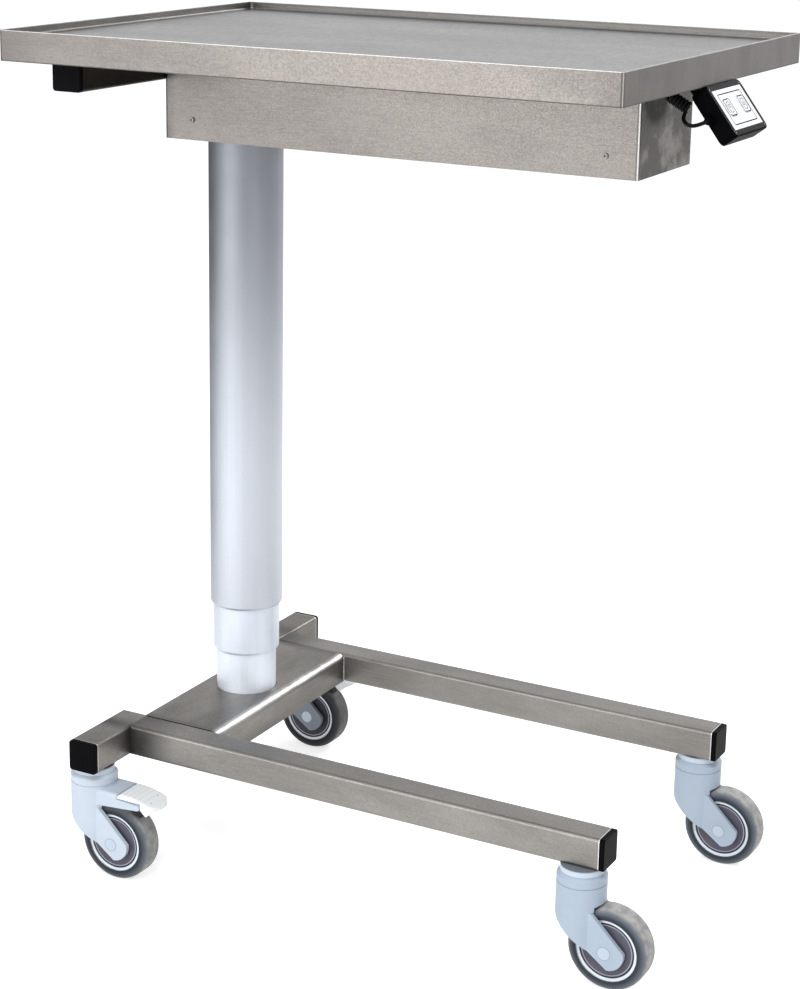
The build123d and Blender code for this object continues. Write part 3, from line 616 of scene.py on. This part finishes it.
recipes = {
    "cap_black": ((12, 12, 15), 0.36, {"specular": .018}),
    "caster_grey": ((172, 186, 202), 0.42, {"tone": 0.03, "specular": .3}),
    # Lit and shaded copies of the caster grey: painted light and painted shade.
    "caster_lit": ((194, 205, 218), 0.42, {"tone": 0.03, "specular": .3}),
    "caster_shaded": ((126, 134, 144), 0.42, {"tone": 0.05, "specular": .3}),
    "rim_pale": ((224, 234, 242), 0.4, {"tone": 0.03}),
    "glide_black": ((30, 30, 32), 0.5, {"specular": .2}),
    "handset_black": ((9, 9, 12), 0.4, {"grain_scale": 1400.0, "grain": .06,
                                        "specular": .004}),
    "label_white": ((247, 250, 253), 0.5, {"tone": 0.01, "specular": .06}),
    "key_white": ((236, 238, 241), 0.5, {"tone": 0.01, "specular": .06}),
    "print_blue": ((30, 36, 62), 0.6, {"tone": .1, "specular": 0.0}),
    "cord_black": ((9, 9, 10), 0.4, {"specular": .08}),
    "bracket_black": ((12, 12, 14), 0.4, {"grain_scale": 700.0, "specular": .08}),
    "shoe_rubber": ((40, 40, 43), 0.7, {"grain_scale": 500.0, "grain": 0.2, "specular": .2}),
    "drive_paint": ((60, 64, 70), 0.5, {"grain_scale": 600.0}),
    "board_core": ((150, 128, 98), 0.75, {"grain_scale": 300.0, "grain": 0.3, "tone": 0.2})}
mouldings = {name: moulded(name, linear(*colour), roughness, **more)[0]
             for name, (colour, roughness, more) in recipes.items()}

# The collar's top edge fades to black: a painted shadow of the tube.
collar_top, collar_shadow_reach = .1462, .0034
collar_grey, collar_shader, collar_tone = moulded("collar_grey", linear(196, 209, 223), 0.42,
                                                  tone=.03)
join(collar_grey, blend_colours(collar_grey, near(collar_grey, "Z", collar_top, collar_shadow_reach),
                                collar_tone, linear(10, 10, 12)),
     collar_shader.inputs["Base Color"])
print("moulded finishes:", len(mouldings) + 1)

# %% [markdown]
# A wheel is seen side on, so its finish follows the distance from the axle: the tyre is
# dark beside the rim, greyer outwards, and worn to a dusty beige on its tread, and the
# cover has a fine raised ring near its edge, drawn as a pale painted highlight. Each caster
# gets its own copies, because each axle is at its own place, and the two beside the column
# are painted darker as shade.

# %% Tyres and covers
side_on = (1, 0, 1)
tyre_clean, tyre_worn = .0400, .0485
cover_edge = (.0322, .0328)
ring_inside, ring_outside = (.0307, .0312), (.0318, .0322)


def tyre_rubber(place_name, axle, light_share):
    finish, shader, rubber = moulded(
        f"tyre_{place_name}", shade(linear(48, 52, 60), light_share), .55,
        grain_scale=500.0, grain=.15, tone=.12, specular=.2)
    reach = away_from(finish, axle, side_on)
    dust = cloudy(finish, own_place(finish), 90.0, detail=5.0)
    worn = blend_colours(finish, spread(finish, reach, tyre_clean, tyre_worn, 0.0, .85),
                         rubber, shade(linear(106, 114, 124), light_share))
    sideways = calculate(finish, "ABSOLUTE", facing(finish, "Y"))
    tread = times(finish, spread(finish, sideways, .2, .95, 1.0, 0.0),
                  spread(finish, dust, .3, .65, .45, 1.0))
    join(finish, blend_colours(finish, tread, worn,
                               shade(linear(176, 175, 172), light_share)),
         shader.inputs["Base Color"])
    return finish


def cover_plastic(place_name, axle, light_share):
    finish, shader, plastic = moulded(
        f"cover_{place_name}", shade(linear(88, 86, 99), min(1.0, light_share * 1.2)), .42,
        tone=.12, specular=.25)
    reach = away_from(finish, axle, side_on)
    edged = blend_colours(finish, spread(finish, reach, *cover_edge, 0.0, .85), plastic,
                          linear(24, 24, 30))
    # Painted highlight on the cover's raised ring.
    ring = times(finish, spread(finish, reach, *ring_inside, 0.0, 1.0),
                 spread(finish, reach, *ring_outside, 1.0, 0.0))
    join(finish, blend_colours(finish, ring, edged, linear(168, 170, 184)),
         shader.inputs["Base Color"])
    return finish


print("worn rubber starts this far from the axle, mm:", round(tyre_clean * 1000, 1))

# %% [markdown]
# The axle's head is under a small grey cap with a ring pressed into it. The brake pedal
# is nearly white, with five moulded ribs across it for the shoe of the person who steps
# on it, and two dimples. Lines this fine are drawn in the colour as painted shade, because
# a bump would vanish in the light.

# %% Axle caps and pedals
cap_ring = (.0074, .0079)
pedal_ribs, rib_width = (.059, .066, .073, .080, .088), .0006
pedal_dimples, dimple_edge = ((.090, .011), (.094, -.010)), (.0006, .0011)


def axle_plastic(place_name, axle):
    finish, shader, plastic = moulded(f"axle_{place_name}", linear(190, 202, 216), .42,
                                      tone=.03)
    # Painted shade in the ring pressed into the cap.
    ring = spread(finish, away_from(finish, axle, side_on), *cap_ring, 0.0, .55)
    join(finish, blend_colours(finish, ring, plastic, linear(110, 122, 140)),
         shader.inputs["Base Color"])
    return finish


def pedal_plastic(place_name, place):
    finish, shader, tone = moulded(f"pedal_{place_name}", linear(243, 248, 252), .4, tone=.01)
    # Painted shade along the ribs and in the two dimples.
    for ahead in pedal_ribs:
        line = times(finish, near(finish, "X", place[0] + ahead, rib_width), .4)
        tone = blend_colours(finish, line, tone, linear(150, 160, 174))
    for ahead, aside in pedal_dimples:
        reach = away_from(finish, (place[0] + ahead, place[1] + aside, 0), (1, 1, 0))
        tone = blend_colours(finish, spread(finish, reach, *dimple_edge, .8, 0.0), tone,
                             linear(96, 108, 120))
    join(finish, tone, shader.inputs["Base Color"])
    return finish


places = {"rear_right": (-.32475, -.244), "rear_left": (-.32475, .244),
          "front_right": (.32675, -.1875), "front_left": (.32675, .1875)}
wheel_radius, caster_trail = .050, .040
light_shares = {"rear_left": .32, "rear_right": .78}
# The rear right fork has painted light and the rear left fork painted shade.
finish_of_node = {"fork_rear_right": mouldings["caster_lit"],
                  "fork_rear_left": mouldings["caster_shaded"]}
for place_name, place in places.items():
    axle = (place[0] + caster_trail, place[1], wheel_radius)
    light_share = light_shares.get(place_name, 1.0)
    finish_of_node[f"tyre_{place_name}"] = tyre_rubber(place_name, axle, light_share)
    finish_of_node[f"covers_{place_name}"] = cover_plastic(place_name, axle, light_share)
    finish_of_node[f"axle_{place_name}"] = axle_plastic(place_name, axle)
    if place_name.startswith("rear"):
        finish_of_node[f"pedal_{place_name}"] = pedal_plastic(place_name, place)
print("caster finishes:", len(finish_of_node))

# %% [markdown]
# The record names a material slot for every node. Most nodes take the finish of their
# slot, and a few have one of their own: the beam, the stubs, the sliding tubes, the casters'
# collars and the screws that match the sheet. The far stub, the cross tube and the collars
# carry painted shade, and the sliding tubes painted light.

# %% Every node gets its finish
finish_of_slot = {"frame_steel": leg_steel, "tray_steel": tray_steel,
                  "housing_steel": housing_steel, "column_silver": column_silver,
                  "bright_steel": bright_steel, **mouldings}
finish_of_node.update({
    "cross_beam": beam_steel, "stub_right": stub_steel, "stub_left": shaded_far_stub_steel,
    "cross_tube": shaded_cross_steel, "inner_tube": inner_silver, "middle_tube": sliding_silver,
    "caster_stems": collar_grey, "housing_screws": housing_steel})
slot_of_node = {row["node"]: row["material_slot"] for row in frame["record"]["subparts"]}
for node_name, piece in nodes.items():
    finish = finish_of_node.get(node_name) or finish_of_slot[slot_of_node[node_name]]
    piece.data.materials.clear()
    piece.data.materials.append(finish)
cord.data.materials.append(mouldings["cord_black"])
print("finished nodes:", len(nodes), "slots read:", len(set(slot_of_node.values())))

# %% [markdown]
# Where two tubes meet in a corner, the welder leaves a row of small overlapping drops.
# One drop is a sphere pressed a little flat along the row, and an array repeats it. The
# seams on top were ground flush on the real base, so only the upright ones are made.

# %% Weld beads in the corners of the base
weld_low, stub_weld_high, beam_weld_high = .1475, .1835, .1815
stub_weld_width, beam_weld_width = .0036, .0040
drop_overlap, drop_flatness = 0.62, 0.8


def alone():
    if bpy.context.object and bpy.context.object.mode != "OBJECT":
        bpy.ops.object.mode_set(mode="OBJECT")
    bpy.ops.object.select_all(action="DESELECT")


def weld_bead(name, corner, high, width, steel):
    """An upright row of drops in a corner of the base."""
    alone()
    drops = round((high - weld_low) / (drop_overlap * width))
    step = (high - weld_low) / drops
    bpy.ops.mesh.primitive_uv_sphere_add(segments=12, ring_count=8, radius=width / 2,
                                         location=(*corner, weld_low + step / 2))
    bead = bpy.context.object
    bead.name = name
    bpy.ops.object.mode_set(mode="EDIT")
    bpy.ops.transform.resize(value=(1, 1, drop_flatness))
    bpy.ops.object.mode_set(mode="OBJECT")
    bpy.ops.object.transform_apply(location=True, rotation=True, scale=True)
    row = bead.modifiers.new("row", "ARRAY")
    row.count, row.use_relative_offset, row.use_constant_offset = drops, False, True
    row.constant_offset_displace = (0, 0, step)
    bpy.ops.object.modifier_apply(modifier="row")
    bpy.ops.object.shade_smooth()
    bead.data.materials.append(steel)
    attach(bead, "base")
    return bead


weld_steel = satin_steel("weld_steel", linear(150, 148, 146), "z", 0.3, cloud=.35)[0]
# The beads in the stub corners are dark: painted shade of the corner.
shaded_weld = satin_steel("shaded_weld", linear(52, 50, 48), "z", 0.35, cloud=.35)[0]
beads = []
for side, side_name in ((-1, "right"), (1, "left")):
    beads.append(weld_bead(f"weld_stub_{side_name}", (stub_front, side * leg_side),
                           stub_weld_high, stub_weld_width, shaded_weld))
    beads.append(weld_bead(f"weld_beam_{side_name}", (beam_front, side * beam_end),
                           beam_weld_high, beam_weld_width, weld_steel))
print("weld beads:", len(beads), "with", len(beads[0].data.vertices), "points in the first")

# %% [markdown]
# The handset's face leans back by 37 degrees. Its white film has a black border and a
# thin frame, and on each key there is a line round it, an oval and a small arrow. They
# are made as flat pieces a few hundredths of a millimetre proud, so that they stay crisp
# at any distance. Everything is drawn on the label's own plane, whose height is read from
# the label and the keys. Words that such a film may carry are left off.

# %% Lines on the handset
lean = math.radians(37)
face_out = Vector((math.cos(lean), 0, math.sin(lean)))
face_up = Vector((-math.sin(lean), 0, math.cos(lean)))
face_right = Vector((0, 1, 0))
top_edge, half_height = Vector((.37675, 0, 1.0300)), .033
face_centre = top_edge - face_up * half_height
print_thickness = .00005


def plane_height(node):
    """How far a flat node's outer face stands from the handset's face."""
    return max((v.co - face_centre).dot(face_out) for v in nodes[node].data.vertices)


def raised_line(name, stretch, line, centre, height, body, finish, corner=0.0):
    """Makes the flat face just added into a raised line along its edge, laid on the handset."""
    piece = bpy.context.object
    piece.name = name
    bpy.ops.object.mode_set(mode="EDIT")
    bpy.ops.transform.resize(value=(*stretch, 1))
    if corner:
        bpy.ops.mesh.bevel(offset=corner, segments=5, affect="VERTICES")
    bpy.ops.mesh.inset(thickness=line)
    bpy.ops.mesh.delete(type="FACE")
    bpy.ops.mesh.select_all(action="SELECT")
    bpy.ops.mesh.extrude_region_move(
        TRANSFORM_OT_translate={"value": (0, 0, print_thickness)})
    bpy.ops.mesh.select_all(action="SELECT")
    bpy.ops.mesh.normals_make_consistent(inside=False)
    bpy.ops.object.mode_set(mode="OBJECT")
    spot = face_centre + face_right * centre[0] + face_up * centre[1] + face_out * height
    turn = Matrix((face_right, face_up, face_out)).transposed().to_4x4()
    piece.matrix_world = Matrix.Translation(spot) @ turn
    bpy.ops.object.transform_apply(location=True, rotation=True, scale=True)
    piece.data.materials.append(finish)
    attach(piece, body)


def line_frame(name, centre, size, corner, line, height, body, finish):
    """A thin raised line that runs round a rectangle with rounded corners."""
    alone()
    bpy.ops.mesh.primitive_plane_add(size=1)
    raised_line(name, size, line, centre, height, body, finish, corner)


def arrow(name, centre, size, upward, height, body, finish):
    """A small outlined arrowhead on a key."""
    alone()
    bpy.ops.mesh.primitive_circle_add(vertices=3, radius=size, fill_type="NGON")
    raised_line(name, (.8, 1 if upward else -1), size * .16, centre, height, body, finish)


print("middle of the handset's face in mm:", [round(v * 1000, 1) for v in face_centre])

# %% [markdown]
# The film's border is as large as the label itself, so its size is read from the label.
# The prints of a key ride on that key and follow it when it is pressed, and their place
# across the handset is read from the key, so that they can't lie over the wrong one.

# %% The film's prints
print_blue = mouldings["print_blue"]
label_height, key_height = plane_height("handset_label"), plane_height("button_up")
print("label and keys stand at, mm:", round(label_height * 1000, 2),
      round(key_height * 1000, 2))
film = [v.co - face_centre for v in nodes["handset_label"].data.vertices]
film_size = [2 * max(abs(spot.dot(way)) for spot in film) for way in (face_right, face_up)]
print("film, mm:", [round(v * 1000, 1) for v in film_size])
line_frame("film_border", (0, 0), film_size, .004, .0034, label_height, "top",
           mouldings["handset_black"])
line_frame("label_frame", (0, 0), (.072, .040), .003, .0013, label_height, "top", print_blue)
key_middle_up, arrow_size = .002, .0035
for key in ("up", "down"):
    key_low, key_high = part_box(f"button_{key}")
    middle = ((key_low[1] + key_high[1]) / 2, key_middle_up)
    print("middle of the key", key, "in mm:", round(middle[0] * 1000, 1))
    line_frame(f"key_edge_{key}", middle, (.0196, .0216), .0035, .0012, key_height,
               f"key_{key}", print_blue)
    line_frame(f"key_oval_{key}", middle, (.0100, .0140), .0030, .0007, key_height,
               f"key_{key}", print_blue)
    arrow(f"key_arrow_{key}", middle, arrow_size, key == "up", key_height,
          f"key_{key}", print_blue)

# %% [markdown]
# The floor is one large pale sheet. It is lit a little by itself, but only for the camera
# and for reflections, so it stays white and still takes a soft shadow. A photographer
# gives a bright tube a dark edge with a black board beside it. The board here is seen by
# reflections alone, so it darkens the column's left edge and never stands in a picture.

# %% The floor and the dark board
floor_size, floor_glow = 60, 0.6
board_place, board_size = (-1.35, .3, .75), 1.5


def seen_or_mirrored(owner):
    """1 for what the camera, a reflection or glass sees, and 0 for all other light."""
    rays = add_node(owner, "LightPath")
    share = rays.outputs["Is Camera Ray"]
    for kind in ("Is Glossy Ray", "Is Transmission Ray"):
        share = calculate(owner, "MAXIMUM", share, rays.outputs[kind])
    return share


alone()
bpy.ops.mesh.primitive_plane_add(size=floor_size, location=(0, 0, 0))
floor = bpy.context.object
floor.name = "studio_floor"
floor_finish, floor_shader = new_finish("studio_floor", 0.9)
floor_shader.inputs["Base Color"].default_value = (0.86, 0.86, 0.86, 1)
floor_shader.inputs["Specular IOR Level"].default_value = 0.0
floor_shader.inputs["Emission Color"].default_value = (1, 1, 1, 1)
join(floor_finish, times(floor_finish, seen_or_mirrored(floor_finish), floor_glow),
     floor_shader.inputs["Emission Strength"])
floor.data.materials.append(floor_finish)

bpy.ops.mesh.primitive_plane_add(size=1, location=board_place,
                                 rotation=(0, math.pi / 2, 0))
dark_board = bpy.context.object
dark_board.name = "studio_dark_board"
dark_board.scale = (board_size, board_size, 1)
board_finish, board_shader = new_finish("studio_dark_board", 1.0)
board_shader.inputs["Base Color"].default_value = (.01, .01, .01, 1)
dark_board.data.materials.append(board_finish)
dark_board.visible_camera = False
dark_board.visible_diffuse = False
dark_board.visible_shadow = False
print("stage pieces:", floor.name, dark_board.name)

# %% [markdown]
# Four broad lamps make the light. The main one stands low in front, to the left of the
# camera, where the fronts of the tubes mirror it. The others brighten the corners, the
# bends and the tops. Broad lamps are used because a small one would leave a hard glint
# and a hard shadow, which the studio picture doesn't have.

# %% The lamps
def soft_lamp(name, place, target, size, power):
    lamp = bpy.data.lights.new(name, "AREA")
    lamp.shape, lamp.size, lamp.size_y, lamp.energy = "RECTANGLE", size[0], size[1], power
    made = bpy.data.objects.new(name, lamp)
    made.location = place
    made.rotation_euler = (Vector(target) - Vector(place)).to_track_quat("-Z", "Y").to_euler()
    bpy.context.scene.collection.objects.link(made)
    return made


lamps = [
    soft_lamp("front_lamp", (-1.3, -3.6, 0.9), (0, 0, 0.6), (2.8, 1.7), 54),
    soft_lamp("high_lamp", (0.6, -2.3, 3.6), (0, 0, 0.5), (1.6, 1.2), 72),
    soft_lamp("corner_lamp", (3.3, -2.0, 0.9), (0.2, 0, 0.7), (0.5, 1.6), 10),
    soft_lamp("back_lamp", (0.8, 3.4, 2.1), (-.2, 0, 0.2), (1.2, 1.5), 58)]
print("lamps:", {lamp.name: lamp.data.energy for lamp in lamps})

# %% [markdown]
# The sky has two strengths. Where the camera or a reflection meets it, it is plain white,
# as the cut-out picture's ground is. As light on the table it is about half as strong, so
# that the lamps still shape the tubes.

# %% The sky
sky_as_light, sky_as_seen = 0.52, 1.0
white = (1, 1, 1, 1)
world = bpy.data.worlds.new("studio_world")
bpy.context.scene.world = world
world.use_nodes = True
dim_sky = world.node_tree.nodes["Background"]
dim_sky.inputs["Color"].default_value = white
dim_sky.inputs["Strength"].default_value = sky_as_light
white_sky = add_node(world, "Background", Color=white, Strength=sky_as_seen)
choose_sky = add_node(world, "MixShader")
join(world, seen_or_mirrored(world), choose_sky.inputs[0])
join(world, dim_sky.outputs[0], choose_sky.inputs[1])
join(world, white_sky.outputs[0], choose_sky.inputs[2])
join(world, choose_sky.outputs[0], world.node_tree.nodes["World Output"].inputs["Surface"])
bpy.context.scene.view_settings.view_transform = "Standard"
print("sky as light and as seen:", sky_as_light, sky_as_seen)
